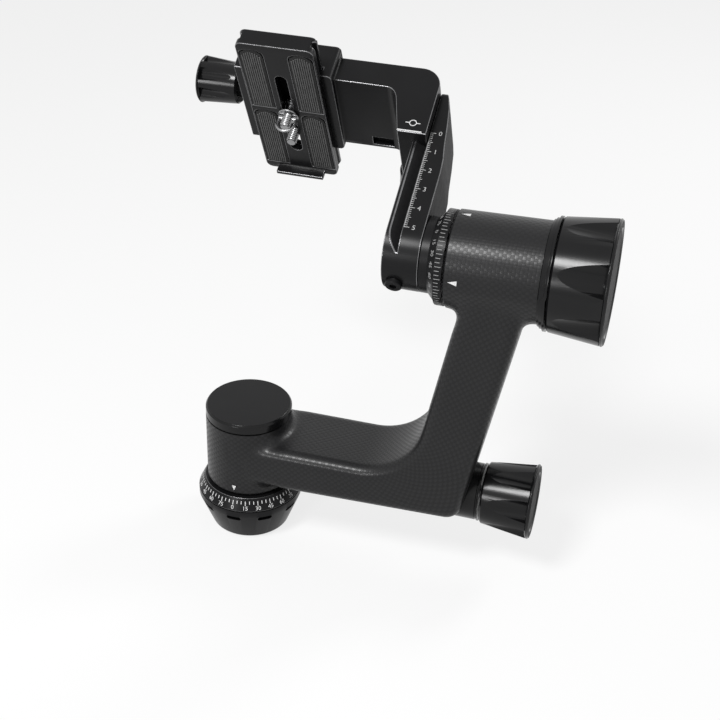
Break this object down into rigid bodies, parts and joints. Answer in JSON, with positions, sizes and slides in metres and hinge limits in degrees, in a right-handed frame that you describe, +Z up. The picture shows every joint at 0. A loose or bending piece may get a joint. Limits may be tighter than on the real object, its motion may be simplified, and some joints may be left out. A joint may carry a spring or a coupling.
{
  "type": "gimbal tripod head",
  "caption": "Side-mount gimbal tripod head: carbon fibre arm turning on a scaled pan base, with a tilting cradle, slide bar, bracket, quick-release clamp and lens plate.",
  "frame": {"origin": "on the pan axis at the underside of the base, at the mouth of the tripod thread", "axes": "+Z up along the pan axis, +X from the pan axis towards the lock knobs and parallel to the tilt axis, +Y away from the side the camera plate faces"},
  "size_m": [0.2635, 0.1404, 0.3044],
  "materials": {
    "anodised_black": "satin black anodised",
    "gloss_black": "glossy black anodised",
    "bare_alloy": "machined",
    "carbon_fibre": "satin lacquered weave",
    "steel": "bright turned",
    "bronze": "machined",
    "rubber": "ribbed, dark grey"
  },
  "bodies": {
    "base": {"base_plate": "anodised_black", "tripod_thread_bush": "steel", "pan_scale_ring": "anodised_black", "pan_spindle": "steel", "spindle_screw_1": "steel", "spindle_screw_2": "steel", "pan_bearing_lower_inner_race": "steel", "pan_bearing_lower_balls": "steel", "pan_bearing_upper_inner_race": "steel", "pan_bearing_upper_balls": "steel", "pan_retaining_nut": "steel"},
    "arm": {"arm_shell": "carbon_fibre", "pan_bearing_sleeve": "bare_alloy", "tilt_bearing_sleeve": "bare_alloy", "pan_bearing_lower_outer_race": "steel", "pan_bearing_upper_outer_race": "steel", "tilt_bearing_left_outer_race": "steel", "tilt_bearing_right_outer_race": "steel", "pan_cap": "anodised_black", "tilt_end_flange": "anodised_black", "pan_lock_collar": "gloss_black"},
    "pan_brake": {"pan_push_rod": "steel", "pan_brake_pad": "bronze"},
    "pan_lock": {"pan_lock_knob": "gloss_black", "pan_lock_screw": "steel"},
    "tilt_brake": {"tilt_brake_disc": "bronze"},
    "tilt_lock": {"tilt_lock_knob": "gloss_black", "tilt_lock_screw": "steel"},
    "cradle": {"tilt_shaft": "steel", "tilt_bearing_left_inner_race": "steel", "tilt_bearing_left_balls": "steel", "tilt_bearing_right_inner_race": "steel", "tilt_bearing_right_balls": "steel", "tilt_retaining_nut": "steel", "tilt_scale_ring": "anodised_black", "slide_bar": "anodised_black", "hub_set_screw": "anodised_black", "bar_stop_screw": "steel"},
    "bracket": {"cradle_bracket": "anodised_black"},
    "gib": {"slide_gib": "anodised_black"},
    "slide_lock": {"slide_lock_knob": "gloss_black", "slide_lock_screw": "steel"},
    "jaw": {"clamp_jaw": "anodised_black", "clamp_guide_pin_1": "steel", "clamp_guide_pin_2": "steel"},
    "clamp_lock": {"clamp_knob": "gloss_black", "clamp_screw": "steel"},
    "plate": {"release_plate": "anodised_black", "grip_pad_1": "rubber", "grip_pad_2": "rubber", "grip_pad_3": "rubber", "grip_pad_4": "rubber", "plate_stop_screw_1": "steel", "plate_stop_screw_2": "steel"},
    "camera_screw_carrier": {"camera_screw_washer": "steel"},
    "camera_screw_turning": {"camera_screw": "steel"},
    "ring_screw_carrier": {"ring_screw_nut": "steel"},
    "ring_screw_turning": {"ring_screw": "steel"},
    "folding_ring": {"d_ring": "steel"}
  },
  "joints": [
    {"name": "pan", "type": "hinge", "parent": "base", "child": "arm", "pos_m": [0, 0, 0], "axis": [0, 0, 1], "continuous": true},
    {"name": "pan_brake_slide", "type": "slide", "parent": "arm", "child": "pan_brake", "axis": [1, 0, 0], "range_m": [0, 0.00125]},
    {"name": "pan_lock_turn", "type": "hinge", "parent": "pan_brake", "child": "pan_lock", "pos_m": [0.165, 0, 0.052], "axis": [1, 0, 0], "range_deg": [0, 360]},
    {"name": "tilt_brake_slide", "type": "slide", "parent": "arm", "child": "tilt_brake", "axis": [1, 0, 0], "range_m": [0, 0.00125]},
    {"name": "tilt_lock_turn", "type": "hinge", "parent": "tilt_brake", "child": "tilt_lock", "pos_m": [0.19, 0, 0.2068], "axis": [1, 0, 0], "range_deg": [0, 360]},
    {"name": "tilt", "type": "hinge", "parent": "arm", "child": "cradle", "pos_m": [0.14, 0, 0.2068], "axis": [1, 0, 0], "continuous": true},
    {"name": "bracket_slide", "type": "slide", "parent": "cradle", "child": "bracket", "axis": [0, 0.8724, 0.4888], "range_m": [-0.056, 0.007]},
    {"name": "gib_slide", "type": "slide", "parent": "bracket", "child": "gib", "axis": [0, 0.4888, -0.8724], "range_m": [0, 0.001]},
    {"name": "slide_lock_turn", "type": "hinge", "parent": "gib", "child": "slide_lock", "pos_m": [0.0796, 0.08135, 0.21914], "axis": [0, 0.4888, -0.8724], "range_deg": [0, 360]},
    {"name": "jaw_slide", "type": "slide", "parent": "bracket", "child": "jaw", "axis": [-1, 0, 0], "range_m": [0, 0.00375]},
    {"name": "clamp_turn", "type": "hinge", "parent": "jaw", "child": "clamp_lock", "pos_m": [-0.045, 0.08135, 0.25719], "axis": [-1, 0, 0], "range_deg": [0, 1080]},
    {"name": "plate_slide", "type": "slide", "parent": "bracket", "child": "plate", "axis": [0, -0.4888, 0.8724], "range_m": [-0.0148, 0.0147]},
    {"name": "camera_screw_slide", "type": "slide", "parent": "plate", "child": "camera_screw_carrier", "axis": [0, -0.4888, 0.8724], "range_m": [-0.011, 0.002]},
    {"name": "camera_screw_turn", "type": "hinge", "parent": "camera_screw_carrier", "child": "camera_screw_turning", "pos_m": [0.004, 0.07538, 0.23184], "axis": [0, -0.8724, -0.4888], "continuous": true},
    {"name": "ring_screw_slide", "type": "slide", "parent": "plate", "child": "ring_screw_carrier", "axis": [0, -0.4888, 0.8724], "range_m": [-0.004, 0.029]},
    {"name": "ring_screw_turn", "type": "hinge", "parent": "ring_screw_carrier", "child": "ring_screw_turning", "pos_m": [0.004, 0.06609, 0.24841], "axis": [0, -0.8724, -0.4888], "continuous": true},
    {"name": "ring_fold", "type": "hinge", "parent": "ring_screw_turning", "child": "folding_ring", "pos_m": [0.004, 0.0633, 0.24685], "axis": [1, 0, 0], "range_deg": [-90, 90]}
  ],
  "couplings": [
    {"joint": "pan_brake_slide", "follows": "pan_lock_turn", "m_per_rad": 0.00019894},
    {"joint": "tilt_brake_slide", "follows": "tilt_lock_turn", "m_per_rad": 0.00019894},
    {"joint": "gib_slide", "follows": "slide_lock_turn", "m_per_rad": 0.00015915},
    {"joint": "jaw_slide", "follows": "clamp_turn", "m_per_rad": 0.00019894}
  ]
}
